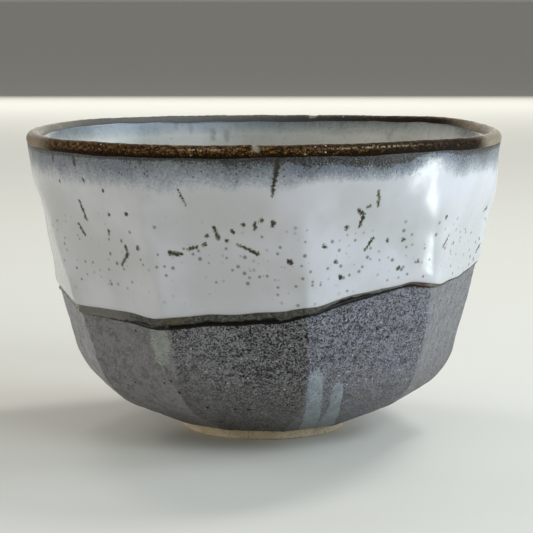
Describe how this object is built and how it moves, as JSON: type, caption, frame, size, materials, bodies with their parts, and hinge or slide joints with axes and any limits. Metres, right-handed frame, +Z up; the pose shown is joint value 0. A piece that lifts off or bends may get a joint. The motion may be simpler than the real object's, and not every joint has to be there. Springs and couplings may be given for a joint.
{
  "type": "matcha bowl",
  "caption": "Hand-made faceted stoneware tea bowl on a low foot ring, white speckled glaze over dark granular slip, with an iron-brown lip.",
  "frame": {"origin": "centre of the resting plane under the foot ring, on the axis of the bowl", "axes": "+Z up along the axis of the bowl, -Y towards the side with the fullest drip pattern, +X to the right of that side"},
  "size_m": [0.1204, 0.1204, 0.0764],
  "materials": {
    "stoneware_clay": "matte",
    "bare_clay_foot": "matte",
    "pale_inner_glaze": "gloss",
    "speckled_white_glaze": "gloss",
    "iron_brown_glaze": "gloss",
    "olive_ash_glaze": "gloss",
    "dark_granular_slip": "matte",
    "smooth_run_glaze": "satin",
    "wiped_slip": "satin"
  },
  "bodies": {
    "root": {"clay_body": "stoneware_clay", "foot_ring": "bare_clay_foot", "inner_glaze": "pale_inner_glaze", "outer_glaze": "speckled_white_glaze", "rim_band": "iron_brown_glaze", "ash_glaze_hem": "olive_ash_glaze", "slip_coat": "dark_granular_slip", "glaze_run": "smooth_run_glaze", "finger_marks": "wiped_slip"}
  },
  "joints": []
}
